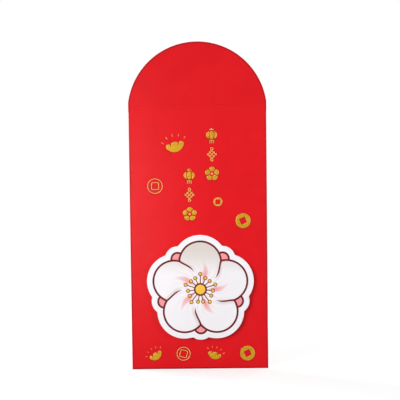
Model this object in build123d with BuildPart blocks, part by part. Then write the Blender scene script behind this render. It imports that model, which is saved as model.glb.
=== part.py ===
from build123d import *
import os
from math import pi, sqrt

# A red paper gift packet: one sheet of red card, creased, folded and glued to a pocket with a round flap.
# Gold foil is stamped on its front, which also carries a die-cut card raised on foam pads.
# Millimetres. +Z is up, the front faces -Y and the origin is the middle of the back panel's outer face.

# Folded sheet
SHEET = 0.3  # thickness of the red card
POCKET_WIDTH = 88.0
POCKET_HEIGHT = 170.0  # bottom fold to flap crease
POCKET_GAP = 1.2  # clear space between front and back panel
MOUTH_DROP = 2.5  # back panel's edge below the strip that bends
NOTCH_RADIUS = 11.0  # thumb notch in the back panel's mouth edge
NOTCH_DEPTH = 6.0
NOTCH_EASE = 1.5  # rounding where the notch meets the mouth edge
BACK_CORNER = 3.0  # cut corners on the back panel's glued side

# Glued tabs
SIDE_TAB_WIDTH = 12.0
BOTTOM_TAB_WIDTH = 14.0
TAB_MITRE_GAP = 1.5  # room between a tab's slanted end and its corner
BACK_SETBACK = 0.5  # back panel's glued edges inside the folds
GLUE_FILM = 0.05
GLUE_WIDTH = 6.0

# Flap
FLAP_RISE = 40.0  # crease to the top of the arc
FLAP_SHOULDER = 0.5  # straight side between the bending strip and the arc
FLAP_CLEARANCE = 0.2  # closed flap off the back panel
SCORE_WIDTH = 0.8  # pressed crease line: groove in front, bead behind
SCORE_DEPTH = 0.08

# Raised die-cut card, a five-petal blossom with sepals between the petals
CARD_BOARD = 0.5  # thickness of the white board
CARD_ACROSS = 0.7  # its middle from the pocket's middle line
CARD_RISE = 52.0  # its middle above the bottom fold
PETALS = 5
PETAL_RADIUS = 14.0
PETAL_REACH = 17.6  # blossom's middle to a petal's middle
SEPAL_RADIUS = 4.6
SEPAL_REACH = 24.5
CARD_BORDER = 3.5  # white margin round the print
CARD_EASE = 1.5  # rounding of the inner corners of the cut
FOAM = 1.5  # thickness of the pads under the card
PAD = 10.0
PAD_CORNER = 1.5
PAD_PITCH = 26.0

# Foil stamps
FOIL = 0.05  # height of the stamped foil
FOIL_LINE = 0.7  # width of a drawn line
FOIL_GAP = 0.35  # red line left between two foil areas

# Coins with a square hole
OUTLINE_COIN_RADIUS = 5.0
LOW_OUTLINE_COIN_RADIUS = 4.6
OUTLINE_SQUARE = 5.2
SQUARE_CORNER = 1.0
SOLID_COIN_RADIUS = 4.9
SOLID_COIN_HOLE = 3.9
SMALL_COIN_RADIUS = 3.0
SMALL_COIN_HOLE = 2.9

# Boat-shaped ingots with rays over them; the lower two are the same drawing made smaller
INGOT_WIDTH = 12.0
INGOT_BOWL = 4.4  # depth of the bowl under its ends
INGOT_END_RADIUS = 1.8
INGOT_DOME_WIDTH = 5.0
INGOT_DOME_RISE = 2.45
INGOT_SLIT = 0.5  # how far the cut between the dome and an end goes into the bowl
INGOT_LIFT = 1.35  # the ends' height over the middle of the stamp
LOW_INGOT_SCALE = 0.74
RAYS = 5
RAY_REACH = 10.0
RAY_DROP = 2.1  # the rays spread from this far under the middle of the stamp
RAY_LENGTH = 1.7
RAY_WIDTH = 0.45
RAY_SPREAD = 94.0  # degrees from the first ray to the last

# Emblems in the two staggered columns
BLOSSOM_PETAL = 2.05
BLOSSOM_REACH = 2.55
BLOSSOM_EYE = 1.5
BLOSSOM_DOT = 0.95
KNOT_PITCH = 1.75
KNOT_BARS = 3
KNOT_OVERHANG = 0.6  # bar ends past the lattice
KNOT_LOOP = 1.1
LANTERN_WIDTH = 7.4
LANTERN_HEIGHT = 5.4
LANTERN_RIB = 1.5  # half width of the middle rib
LANTERN_CAP = 3.2
TASSEL_LENGTH = 1.7
TASSEL_PITCH = 1.15
TASSEL_STRANDS = 3

# Places on the front panel. In: from the nearer side edge. Across: from the middle line.
# Down: from the crease. Up: from the bottom fold. Turn: degrees anticlockwise.
INGOT_ACROSS, INGOT_DOWN, INGOT_TURN = -14.2, 26.8, 14.5
OUTLINE_COIN_IN, OUTLINE_COIN_DOWN = 16.4, 51.4
SMALL_COIN_ACROSS, SMALL_COIN_DOWN = 12.5, 61.9
SOLID_COIN_IN, SOLID_COIN_DOWN, SOLID_COIN_TURN = 15.5, 74.2, 22.0
LOW_INGOT_UP, LOW_COIN_UP = 8.4, 10.0
LOW_LEFT_INGOT_IN, LOW_LEFT_INGOT_TURN = 15.7, 33.0
LOW_OUTLINE_COIN_ACROSS, LOW_OUTLINE_COIN_TURN = -10.7, -14.0
LOW_RIGHT_INGOT_ACROSS, LOW_RIGHT_INGOT_TURN = 9.1, -18.0
LOW_SOLID_COIN_IN = 13.4
RIGHT_COLUMN_ACROSS, RIGHT_COLUMN_DOWN = 9.0, 19.1
LEFT_COLUMN_ACROSS = -5.6
LEFT_COLUMN_OVER_CARD = 13.3  # lowest emblem's middle above the raised card's top
COLUMN_PITCH = 12.4
COLUMN_ROWS = 3

# Layers, measured forward from the back panel's outer face
DEPTH = 2 * SHEET + POCKET_GAP
TAB_LAYER = SHEET + GLUE_FILM

# Bends, by their outer radius
LEFT_BEND = DEPTH / 2
TAB_BEND = (DEPTH - TAB_LAYER) / 2
TAB_BEND_DEPTH = (DEPTH + TAB_LAYER) / 2

# Edges of the pocket, and the lines where its flat panels end
LEFT = -POCKET_WIDTH / 2
RIGHT = POCKET_WIDTH / 2
BOTTOM = -POCKET_HEIGHT / 2
CREASE = POCKET_HEIGHT / 2
LEFT_PANEL = LEFT + LEFT_BEND
RIGHT_PANEL = RIGHT - TAB_BEND
LOW_PANEL = BOTTOM + TAB_BEND

# The closed flap lies behind the back panel, so the strip at the crease bends by half a turn round this axis
AXIS_DEPTH = (DEPTH - SHEET - FLAP_CLEARANCE) / 2
CREASE_STRIP = pi * (DEPTH - SHEET / 2 - AXIS_DEPTH)
CREASE_LOW = CREASE - CREASE_STRIP / 2
CREASE_HIGH = CREASE + CREASE_STRIP / 2
SHOULDER = CREASE_HIGH + FLAP_SHOULDER
MOUTH = CREASE_LOW - MOUTH_DROP

BACK_FACE = Plane.XZ
FRONT_FACE = Plane.XZ.offset(DEPTH)


def front_spot(across, up, turn=0.0):
    """Plane on the front panel's face at a stamp's middle, turned anticlockwise as seen from the front."""
    return Plane(FRONT_FACE * Pos(across, up) * Rot(0, 0, turn))


def save(piece, name):
    """Label a finished piece and write its STEP file."""
    piece.part.label = name
    export_step(piece.part, f"parts/{name}.step")


os.makedirs("parts", exist_ok=True)

# Front panel: full width at the mouth, and between the folds below it
with BuildPart() as front_panel:
    with BuildSketch(FRONT_FACE):
        with BuildLine():
            Polyline(
                (LEFT_PANEL, LOW_PANEL),
                (RIGHT_PANEL, LOW_PANEL),
                (RIGHT_PANEL, MOUTH),
                (RIGHT, MOUTH),
                (RIGHT, CREASE_LOW),
                (LEFT, CREASE_LOW),
                (LEFT, MOUTH),
                (LEFT_PANEL, MOUTH),
                close=True,
            )
        make_face()
    extrude(amount=-SHEET)
save(front_panel, "front_panel")


def bend_profile(outer_radius):
    """Half ring of sheet that bulges to the left of the sketch's origin."""
    Circle(outer_radius)
    Circle(outer_radius - SHEET, mode=Mode.SUBTRACT)
    Rectangle(outer_radius, 2 * outer_radius, align=(Align.MIN, Align.CENTER), mode=Mode.SUBTRACT)


# Left side fold: turns the sheet from the front panel to the back panel
with BuildPart() as left_side_fold:
    with BuildSketch(Plane((LEFT_PANEL, -LEFT_BEND, BOTTOM))):
        bend_profile(LEFT_BEND)
    extrude(amount=MOUTH - BOTTOM)
save(left_side_fold, "left_side_fold")

# Right side fold: turns the sheet from the front panel to the side tab
with BuildPart() as right_side_fold:
    with BuildSketch(Plane((RIGHT_PANEL, -TAB_BEND_DEPTH, BOTTOM), x_dir=(-1, 0, 0))):
        bend_profile(TAB_BEND)
    extrude(amount=MOUTH - BOTTOM)
save(right_side_fold, "right_side_fold")

# Bottom fold: turns the sheet from the front panel to the bottom tab
with BuildPart() as bottom_fold:
    with BuildSketch(Plane((LEFT_PANEL, -TAB_BEND_DEPTH, LOW_PANEL), x_dir=(0, 0, 1), z_dir=(1, 0, 0))):
        bend_profile(TAB_BEND)
    extrude(amount=RIGHT_PANEL - LEFT_PANEL)
save(bottom_fold, "bottom_fold")

# Back panel: its right and lower edges lie over the tabs, and its mouth edge has the thumb notch
with BuildPart() as back_panel:
    with BuildSketch(BACK_FACE) as back_outline:
        with BuildLine():
            Polyline(
                (LEFT_PANEL, LOW_PANEL + BACK_SETBACK),
                (RIGHT_PANEL - BACK_SETBACK, LOW_PANEL + BACK_SETBACK),
                (RIGHT_PANEL - BACK_SETBACK, MOUTH),
                (LEFT_PANEL, MOUTH),
                close=True,
            )
        make_face()
        chamfer(back_outline.vertices().group_by(Axis.X)[-1], BACK_CORNER)
        with Locations((0, MOUTH + NOTCH_RADIUS - NOTCH_DEPTH)):
            Circle(NOTCH_RADIUS, mode=Mode.SUBTRACT)
        fillet(back_outline.vertices().sort_by_distance((0, MOUTH))[:2], NOTCH_EASE)
    extrude(amount=SHEET)
save(back_panel, "back_panel")

# Side tab: glued inside the back panel's right edge, with slanted ends
SIDE_TAB_LOW = LOW_PANEL + TAB_MITRE_GAP
SIDE_TAB_HIGH = MOUTH - TAB_MITRE_GAP
with BuildPart() as side_glue_tab:
    with BuildSketch(BACK_FACE.offset(TAB_LAYER)):
        with BuildLine():
            Polyline(
                (RIGHT_PANEL, SIDE_TAB_LOW),
                (RIGHT_PANEL, SIDE_TAB_HIGH),
                (RIGHT_PANEL - SIDE_TAB_WIDTH, SIDE_TAB_HIGH - SIDE_TAB_WIDTH),
                (RIGHT_PANEL - SIDE_TAB_WIDTH, SIDE_TAB_LOW + SIDE_TAB_WIDTH),
                close=True,
            )
        make_face()
    extrude(amount=SHEET)
save(side_glue_tab, "side_glue_tab")

# Bottom tab: glued inside the back panel's lower edge, mitred against the side tab
BOTTOM_TAB_LEFT = LEFT_PANEL + TAB_MITRE_GAP
BOTTOM_TAB_RIGHT = RIGHT_PANEL - TAB_MITRE_GAP
with BuildPart() as bottom_glue_tab:
    with BuildSketch(BACK_FACE.offset(TAB_LAYER)):
        with BuildLine():
            Polyline(
                (BOTTOM_TAB_LEFT, LOW_PANEL),
                (BOTTOM_TAB_RIGHT, LOW_PANEL),
                (BOTTOM_TAB_RIGHT - BOTTOM_TAB_WIDTH, LOW_PANEL + BOTTOM_TAB_WIDTH),
                (BOTTOM_TAB_LEFT + BOTTOM_TAB_WIDTH, LOW_PANEL + BOTTOM_TAB_WIDTH),
                close=True,
            )
        make_face()
    extrude(amount=SHEET)
save(bottom_glue_tab, "bottom_glue_tab")

# Glue: a film between each tab and the back panel, over the tab's straight part
with BuildPart() as side_glue_line:
    with BuildSketch(BACK_FACE.offset(SHEET)):
        with Locations((RIGHT_PANEL - SIDE_TAB_WIDTH / 2, (SIDE_TAB_LOW + SIDE_TAB_HIGH) / 2)):
            Rectangle(GLUE_WIDTH, SIDE_TAB_HIGH - SIDE_TAB_LOW - 2 * SIDE_TAB_WIDTH)
    extrude(amount=GLUE_FILM)
save(side_glue_line, "side_glue_line")

with BuildPart() as bottom_glue_line:
    with BuildSketch(BACK_FACE.offset(SHEET)):
        with Locations(((BOTTOM_TAB_LEFT + BOTTOM_TAB_RIGHT) / 2, LOW_PANEL + BOTTOM_TAB_WIDTH / 2)):
            Rectangle(BOTTOM_TAB_RIGHT - BOTTOM_TAB_LEFT - 2 * BOTTOM_TAB_WIDTH, GLUE_WIDTH)
    extrude(amount=GLUE_FILM)
save(bottom_glue_line, "bottom_glue_line")

# Flap crease: the strip that bends, scored by a groove in front with a bead behind
with BuildPart() as flap_crease:
    with BuildSketch(Plane.YZ.offset(LEFT)):
        with BuildLine():
            low_front = Line((-DEPTH, CREASE_LOW), (-DEPTH, CREASE - SCORE_WIDTH / 2))
            groove = ThreePointArc(
                low_front @ 1, (SCORE_DEPTH - DEPTH, CREASE), (-DEPTH, CREASE + SCORE_WIDTH / 2)
            )
            top = Polyline(
                groove @ 1,
                (-DEPTH, CREASE_HIGH),
                (SHEET - DEPTH, CREASE_HIGH),
                (SHEET - DEPTH, CREASE + SCORE_WIDTH / 2),
            )
            bead = ThreePointArc(
                top @ 1, (SHEET + SCORE_DEPTH - DEPTH, CREASE), (SHEET - DEPTH, CREASE - SCORE_WIDTH / 2)
            )
            Polyline(bead @ 1, (SHEET - DEPTH, CREASE_LOW), low_front @ 0)
        make_face()
    extrude(amount=POCKET_WIDTH)
save(flap_crease, "flap_crease")

# Flap: as wide as the pocket, with short straight sides and one round arc
with BuildPart() as flap:
    with BuildSketch(FRONT_FACE):
        with BuildLine():
            base = Line((LEFT, CREASE_HIGH), (RIGHT, CREASE_HIGH))
            side = Line(base @ 1, (RIGHT, SHOULDER))
            arc = ThreePointArc(side @ 1, (0, CREASE + FLAP_RISE), (LEFT, SHOULDER))
            Line(arc @ 1, base @ 0)
        make_face()
    extrude(amount=-SHEET)
save(flap, "flap")

# Foam pads: four squares between the front panel and the raised card
card_spot = front_spot(CARD_ACROSS, BOTTOM + CARD_RISE)
CARD_TOP = BOTTOM + CARD_RISE + PETAL_REACH + PETAL_RADIUS + CARD_BORDER
with BuildPart() as foam_pads:
    with BuildSketch(card_spot):
        with GridLocations(PAD_PITCH, PAD_PITCH, 2, 2):
            RectangleRounded(PAD, PAD, PAD_CORNER)
    extrude(amount=FOAM)
save(foam_pads, "foam_pads")

# Die-cut card: the blossom's outline and its white margin, cut from board. It is drawn too wide and then
# narrowed, which rounds its inner corners.
with BuildPart() as die_cut_card:
    with BuildSketch(card_spot.offset(FOAM)) as card_outline:
        Circle(PETAL_REACH)
        with PolarLocations(PETAL_REACH, PETALS, start_angle=90):
            Circle(PETAL_RADIUS + CARD_BORDER + CARD_EASE)
        with PolarLocations(SEPAL_REACH, PETALS, start_angle=90 + 180 / PETALS):
            Circle(SEPAL_RADIUS + CARD_BORDER + CARD_EASE)
        offset(amount=-CARD_EASE)
    extrude(amount=CARD_BOARD)
save(die_cut_card, "die_cut_card")


def outline_coin(radius):
    """Coin drawn in lines: a ring and a round-cornered square in it."""
    Circle(radius)
    Circle(radius - FOIL_LINE, mode=Mode.SUBTRACT)
    RectangleRounded(OUTLINE_SQUARE, OUTLINE_SQUARE, SQUARE_CORNER)
    inner_square = OUTLINE_SQUARE - 2 * FOIL_LINE
    RectangleRounded(inner_square, inner_square, SQUARE_CORNER - FOIL_LINE, mode=Mode.SUBTRACT)


def solid_coin(radius, hole):
    """Full coin with a square hole."""
    Circle(radius)
    Rectangle(hole, hole, mode=Mode.SUBTRACT)


with BuildPart() as outline_coin_stamp:
    with BuildSketch(front_spot(LEFT + OUTLINE_COIN_IN, CREASE - OUTLINE_COIN_DOWN)):
        outline_coin(OUTLINE_COIN_RADIUS)
    extrude(amount=FOIL)
save(outline_coin_stamp, "outline_coin_stamp")

with BuildPart() as low_outline_coin_stamp:
    with BuildSketch(front_spot(LOW_OUTLINE_COIN_ACROSS, BOTTOM + LOW_COIN_UP, LOW_OUTLINE_COIN_TURN)):
        outline_coin(LOW_OUTLINE_COIN_RADIUS)
    extrude(amount=FOIL)
save(low_outline_coin_stamp, "low_outline_coin_stamp")

with BuildPart() as small_coin_stamp:
    with BuildSketch(front_spot(SMALL_COIN_ACROSS, CREASE - SMALL_COIN_DOWN)):
        solid_coin(SMALL_COIN_RADIUS, SMALL_COIN_HOLE)
    extrude(amount=FOIL)
save(small_coin_stamp, "small_coin_stamp")

with BuildPart() as solid_coin_stamps:
    with BuildSketch(
        front_spot(RIGHT - SOLID_COIN_IN, CREASE - SOLID_COIN_DOWN, SOLID_COIN_TURN),
        front_spot(RIGHT - LOW_SOLID_COIN_IN, BOTTOM + LOW_COIN_UP, SOLID_COIN_TURN),
    ):
        solid_coin(SOLID_COIN_RADIUS, SOLID_COIN_HOLE)
    extrude(amount=FOIL)
save(solid_coin_stamps, "solid_coin_stamps")


def ingot(size):
    """Boat-shaped ingot: a round bowl with two upturned ends, a dome between them and rays above."""
    half = INGOT_WIDTH / 2 * size
    lift = INGOT_LIFT * size
    end_radius = INGOT_END_RADIUS * size
    with BuildLine() as bowl:
        keel = ThreePointArc((-half, lift), (0, lift - INGOT_BOWL * size), (half, lift))
        Line(keel @ 1, keel @ 0)
    make_face(bowl.edges())
    with Locations((end_radius - half, lift), (half - end_radius, lift)):
        Circle(end_radius)
    with Locations((0, lift)):
        Ellipse(INGOT_DOME_WIDTH / 2 * size, INGOT_DOME_RISE * size)
    slit_height = (INGOT_SLIT + INGOT_DOME_RISE) * size
    with Locations((0, lift - INGOT_SLIT * size)):
        with GridLocations(INGOT_DOME_WIDTH * size, 0, 2, 1):
            Rectangle(FOIL_GAP, slit_height, align=(Align.CENTER, Align.MIN), mode=Mode.SUBTRACT)
    with Locations((0, -RAY_DROP * size)):
        with PolarLocations(RAY_REACH * size, RAYS, 90 - RAY_SPREAD / 2, RAY_SPREAD, endpoint=True):
            Rectangle(RAY_LENGTH * size, RAY_WIDTH)


with BuildPart() as ingot_stamp:
    with BuildSketch(front_spot(INGOT_ACROSS, CREASE - INGOT_DOWN, INGOT_TURN)):
        ingot(1)
    extrude(amount=FOIL)
save(ingot_stamp, "ingot_stamp")

with BuildPart() as low_ingot_stamps:
    with BuildSketch(
        front_spot(LEFT + LOW_LEFT_INGOT_IN, BOTTOM + LOW_INGOT_UP, LOW_LEFT_INGOT_TURN),
        front_spot(LOW_RIGHT_INGOT_ACROSS, BOTTOM + LOW_INGOT_UP, LOW_RIGHT_INGOT_TURN),
    ):
        ingot(LOW_INGOT_SCALE)
    extrude(amount=FOIL)
save(low_ingot_stamps, "low_ingot_stamps")


def column_spots(row, turn=0.0):
    """The same row's place in each of the two staggered columns, counted from the top."""
    right_up = CREASE - RIGHT_COLUMN_DOWN - row * COLUMN_PITCH
    left_up = CARD_TOP + LEFT_COLUMN_OVER_CARD + (COLUMN_ROWS - 1 - row) * COLUMN_PITCH
    return front_spot(RIGHT_COLUMN_ACROSS, right_up, turn), front_spot(LEFT_COLUMN_ACROSS, left_up, turn)


# Blossom emblem: five petals parted by fine lines, round an open eye with a dot
with BuildPart() as blossom_stamps:
    with BuildSketch(*column_spots(2)):
        with PolarLocations(BLOSSOM_REACH, PETALS, start_angle=90):
            Circle(BLOSSOM_PETAL)
        with PolarLocations(BLOSSOM_REACH, PETALS, start_angle=90 + 180 / PETALS):
            Rectangle(2 * BLOSSOM_REACH, FOIL_GAP, mode=Mode.SUBTRACT)
        Circle(BLOSSOM_EYE, mode=Mode.SUBTRACT)
        Circle(BLOSSOM_DOT)
    extrude(amount=FOIL)
save(blossom_stamps, "blossom_stamps")

# Knot emblem: a square lattice of bars stood on its corner, with a loop above and below
KNOT_SIDE = KNOT_PITCH * (KNOT_BARS - 1)
KNOT_BAR_LENGTH = KNOT_SIDE + FOIL_LINE + 2 * KNOT_OVERHANG
LOOP_AT = KNOT_SIDE / 2 + KNOT_LOOP / sqrt(2)
with BuildPart() as knot_stamps:
    with BuildSketch(*column_spots(1, turn=45)):
        with GridLocations(0, KNOT_PITCH, 1, KNOT_BARS):
            Rectangle(KNOT_BAR_LENGTH, FOIL_LINE)
        with GridLocations(KNOT_PITCH, 0, KNOT_BARS, 1):
            Rectangle(FOIL_LINE, KNOT_BAR_LENGTH)
        with Locations((LOOP_AT, LOOP_AT), (-LOOP_AT, -LOOP_AT)):
            Circle(KNOT_LOOP)
            Circle(KNOT_LOOP - FOIL_LINE, mode=Mode.SUBTRACT)
    extrude(amount=FOIL)
save(knot_stamps, "knot_stamps")

# Lantern emblem: a ribbed body between two caps, with a hanging bar above and a tassel below
with BuildPart() as lantern_stamps:
    with BuildSketch(*column_spots(0)):
        Ellipse(LANTERN_WIDTH / 2, LANTERN_HEIGHT / 2)
        Ellipse(LANTERN_RIB + FOIL_GAP, LANTERN_HEIGHT / 2 + FOIL_GAP, mode=Mode.SUBTRACT)
        Ellipse(LANTERN_RIB, LANTERN_HEIGHT / 2)
        with GridLocations(0, LANTERN_HEIGHT + 2 * FOIL_GAP + FOIL_LINE, 1, 2):
            Rectangle(LANTERN_CAP, FOIL_LINE)
        with Locations((0, LANTERN_HEIGHT / 2 + FOIL_GAP + FOIL_LINE)):
            Rectangle(FOIL_LINE, FOIL_LINE, align=(Align.CENTER, Align.MIN))
        with Locations((0, -LANTERN_HEIGHT / 2 - FOIL_GAP - FOIL_LINE)):
            with GridLocations(TASSEL_PITCH, 0, TASSEL_STRANDS, 1):
                Rectangle(FOIL_LINE, TASSEL_LENGTH, align=(Align.CENTER, Align.MAX))
    extrude(amount=FOIL)
save(lantern_stamps, "lantern_stamps")
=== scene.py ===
# Red paper gift packet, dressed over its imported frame. Metres, front towards -Y, +Z up.
import math

import bmesh
import bpy
from mathutils import Matrix, Vector


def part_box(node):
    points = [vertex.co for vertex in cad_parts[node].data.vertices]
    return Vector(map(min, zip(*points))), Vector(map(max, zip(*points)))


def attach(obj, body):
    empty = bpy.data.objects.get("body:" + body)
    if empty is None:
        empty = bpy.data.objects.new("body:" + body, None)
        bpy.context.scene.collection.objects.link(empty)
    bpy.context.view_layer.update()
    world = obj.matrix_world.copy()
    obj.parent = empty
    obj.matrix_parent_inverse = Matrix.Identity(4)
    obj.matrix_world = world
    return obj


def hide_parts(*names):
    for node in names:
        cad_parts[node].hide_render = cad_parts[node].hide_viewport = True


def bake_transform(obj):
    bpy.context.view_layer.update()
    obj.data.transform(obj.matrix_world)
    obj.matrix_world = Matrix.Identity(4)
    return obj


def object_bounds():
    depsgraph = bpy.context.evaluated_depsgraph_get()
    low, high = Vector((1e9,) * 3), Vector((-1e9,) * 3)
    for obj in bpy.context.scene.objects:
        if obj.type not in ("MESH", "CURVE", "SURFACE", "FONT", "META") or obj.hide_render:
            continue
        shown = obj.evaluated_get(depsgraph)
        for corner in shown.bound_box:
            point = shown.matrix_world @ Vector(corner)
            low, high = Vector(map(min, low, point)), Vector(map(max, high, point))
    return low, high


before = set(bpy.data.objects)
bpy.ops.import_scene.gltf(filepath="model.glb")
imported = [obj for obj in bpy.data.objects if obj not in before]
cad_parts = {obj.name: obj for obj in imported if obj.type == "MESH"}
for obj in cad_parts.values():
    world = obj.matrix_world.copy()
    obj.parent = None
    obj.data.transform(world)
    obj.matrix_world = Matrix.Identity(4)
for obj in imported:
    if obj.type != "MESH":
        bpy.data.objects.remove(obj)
cad_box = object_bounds()

# Front of the red sheet: front panel, scored crease and round flap, all one piece of card.
# The card is dyed red, coated outside and bare inside; just inside its edges it is painted darker, as
# painted shade of the rolled folds and cut rims that also stands for rubbing.
# A blunt rule pressed the crease, which is why the flap bends there and nowhere else.
MM = 0.001
RED = (0.754, 0.0038, 0.0090)
RED_MOTTLE = (0.720, 0.0031, 0.0080)
RED_EDGE_SHADE = (0.370, 0.0022, 0.0058)
BARE_RED = (0.690, 0.0180, 0.0235)
BARE_MOTTLE = (0.645, 0.0145, 0.0200)
COATED_ROUGHNESS, BARE_ROUGHNESS = (0.33, 0.45), (0.69, 0.81)  # between the fibres and on them
CARD_SPECULAR = 0.22
CARD_GRAIN = {"Grain size": 0.35 * MM, "Fibre size": 0.9 * MM, "Mottle size": 14 * MM}
CARD_TOOTH = (0.25, 0.012 * MM)  # strength and depth of the relief
GRAIN_NOISE, FIBRE_NOISE, MOTTLE_NOISE = (3.0, 0.6), (2.0, 0.5), (4.0, 0.55)  # detail and roughness
FIBRE_LAYS = ((0.5, 6.0), (2.2, 5.0))  # turn in radians and stretch of the two crossing fibre directions
CLOUDED = (0.35, 0.65)  # clear below this much of the mottle's noise, full cloud above that
FIBROUS = (0.4, 0.8)  # the same for the fibres' noise
EDGE_SHADE_INSET = 0.5 * MM  # the painted edge shade is darkest here, and the very edge stays red
EDGE_SHADE_WIDTH = 1.5 * MM
EDGE_SHADE_DEPTH = (0.35 * MM, 0.85 * MM)  # the painted edge shade lies on the folds' front edge only
EDGE_SHADE_MOST, RIM_SHADE_MOST, CREASE_SHADE_MOST = 0.95, 0.8, 0.10  # the most that painted shade darkens the edge, the back panel's cut rim and the crease
SCORE_WIDTH = 0.8 * MM
SCORE_CORE = 0.08 * MM  # the crease is marked in full up to here
SCORE_DEPTH = 0.035 * MM
SCORE_ROWS = 10
BODY_STEP = 2.5 * MM
MOUTH_EASE = 0.6 * MM  # the sheet widens over the folds' ends in this height
SHOULDER = 0.5 * MM  # straight side of the flap above the bending strip
FLAP_ROWS = 40
TOP_SHARE = 0.25  # width of the flap's last row, as a share of the one under it
FLAP_LEAN = math.tan(math.radians(1.5))  # forward, from the crease on
FLAP_CURL = 0.6 * MM  # more lean at the flap's top
COLUMNS = 44
SHARP_EDGE = 35  # degrees


def put_in_scene(data, name=None):
    """New object at the origin with this mesh, light or camera, by default under its name."""
    piece = bpy.data.objects.new(name or data.name, data)
    bpy.context.scene.collection.objects.link(piece)
    return piece


def smooth_between_edges(mesh, angle=SHARP_EDGE):
    """Smooth shading that stops at edges sharper than the angle in degrees."""
    mesh.shade_smooth()
    mesh.set_sharp_from_angle(angle=math.radians(angle))


def keep_places(mesh):
    """Store where the sheet's points lie at rest, so that its marks stay on it when the flap bends."""
    places = mesh.attributes.new("sheet_place", "FLOAT_VECTOR", "POINT")
    for point, place in zip(mesh.vertices, places.data):
        place.vector = point.co


def closed_sheet(name, face, rear, outside):
    """Solid sheet from rows of points on its face and, in the same order, on its rear.

    Its outside, 0 for the face or 1 for the rear, and its cut rim are coated, the other side is bare.
    """
    columns, rows = len(face[0]), len(face)
    points = [point for row in face + rear for point in row]
    behind = rows * columns
    quads = []
    for row in range(rows - 1):
        for column in range(columns - 1):
            low = row * columns + column
            quad = (low, low + 1, low + columns + 1, low + columns)
            quads += [quad, tuple(behind + corner for corner in reversed(quad))]
    rim = list(range(columns))
    rim += [row * columns + columns - 1 for row in range(1, rows)]
    rim += [(rows - 1) * columns + column for column in range(columns - 2, -1, -1)]
    rim += [row * columns for row in range(rows - 2, 0, -1)]
    for one, two in zip(rim, rim[1:] + rim[:1]):
        quads.append((two, one, behind + one, behind + two))
    mesh = bpy.data.meshes.new(name)
    mesh.from_pydata(points, [], quads)
    for number in range(2 * (rows - 1) * (columns - 1)):
        mesh.polygons[number].material_index = int(number % 2 != outside)
    mesh.materials.append(red_card)
    mesh.materials.append(bare_card)
    keep_places(mesh)
    smooth_between_edges(mesh)
    return put_in_scene(mesh)


def spaced(start, *runs):
    """Rising values from start, each run given as (end, step)."""
    values = [start]
    for end, step in runs:
        begin = values[-1]
        count = max(1, round((end - begin) / step))
        values += [begin + (end - begin) * k / count for k in range(1, count + 1)]
    return values


def set_inputs(node, inputs):
    """Set a node's inputs, given by name or number, each to a value or by a link from a socket."""
    for key, value in inputs.items():
        if isinstance(value, bpy.types.NodeSocket):
            node.id_data.links.new(value, node.inputs[key])
        else:
            node.inputs[key].default_value = value


def add_node(tree, kind, inputs=None, **settings):
    """Outputs of a new node in a tree."""
    made = tree.nodes.new(kind)
    for name, value in settings.items():
        setattr(made, name, value)
    set_inputs(made, inputs or {})
    return made.outputs


def figure(tree, operation, *values):
    """Result of a Math node."""
    return add_node(tree, "ShaderNodeMath", dict(enumerate(values)), operation=operation)[0]


def vector_of(tree, **parts):
    """Vector from its parts X, Y and Z."""
    return add_node(tree, "ShaderNodeCombineXYZ", parts)[0]


def distance(tree, one, two=(0, 0, 0)):
    """Distance between two places."""
    return add_node(tree, "ShaderNodeVectorMath", {0: one, 1: two}, operation="DISTANCE")["Value"]


def ramp(tree, value, low, high, low_result=0.0, high_result=1.0):
    """Smooth step of a value from low to high."""
    inputs = dict(enumerate((value, low, high, low_result, high_result)))
    return add_node(tree, "ShaderNodeMapRange", inputs, interpolation_type="SMOOTHSTEP")[0]


def mixed(tree, share, one, two, blend_type="MIX"):
    """Colour between two others by a share."""
    one, two = ((*colour, 1) if isinstance(colour, tuple) else colour for colour in (one, two))
    inputs = {0: share, 6: one, 7: two}  # a Mix node's sockets for colours
    return add_node(tree, "ShaderNodeMix", inputs, data_type="RGBA", blend_type=blend_type)[2]


def noise(tree, place, size, detail, roughness):
    """Noise with features of a size in metres."""
    inputs = {"Vector": place, "Scale": figure(tree, "DIVIDE", 1.0, size)}
    inputs |= {"Detail": detail, "Roughness": roughness}
    return add_node(tree, "ShaderNodeTexNoise", inputs)["Fac"]


def tooth(tree, height, strength, depth):
    """Normal of a fine relief."""
    inputs = {"Strength": strength, "Distance": depth, "Height": height}
    return add_node(tree, "ShaderNodeBump", inputs)["Normal"]


def new_group(name, kind, inputs, outputs):
    """Empty node group with named sockets of these types, and its input and output nodes."""
    tree = bpy.data.node_groups.new(name, kind)
    for in_out, sockets in (("INPUT", inputs), ("OUTPUT", outputs)):
        for label, socket in sockets.items():
            tree.interface.new_socket(label, in_out=in_out, socket_type="NodeSocket" + socket)
    return tree, tree.nodes.new("NodeGroupInput"), tree.nodes.new("NodeGroupOutput")


def empty_tree(owner):
    """Emptied node tree of a material or a world."""
    owner.use_nodes = True
    owner.node_tree.nodes.clear()
    return owner.node_tree


def finish_of(name):
    """New material with a bare Principled shader: material, tree, shader and Object coordinates."""
    finish = bpy.data.materials.new(name)
    tree = empty_tree(finish)
    shader = tree.nodes.new("ShaderNodeBsdfPrincipled")
    add_node(tree, "ShaderNodeOutputMaterial", {"Surface": shader.outputs["BSDF"]})
    return finish, tree, shader, add_node(tree, "ShaderNodeTexCoord")["Object"]


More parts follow.
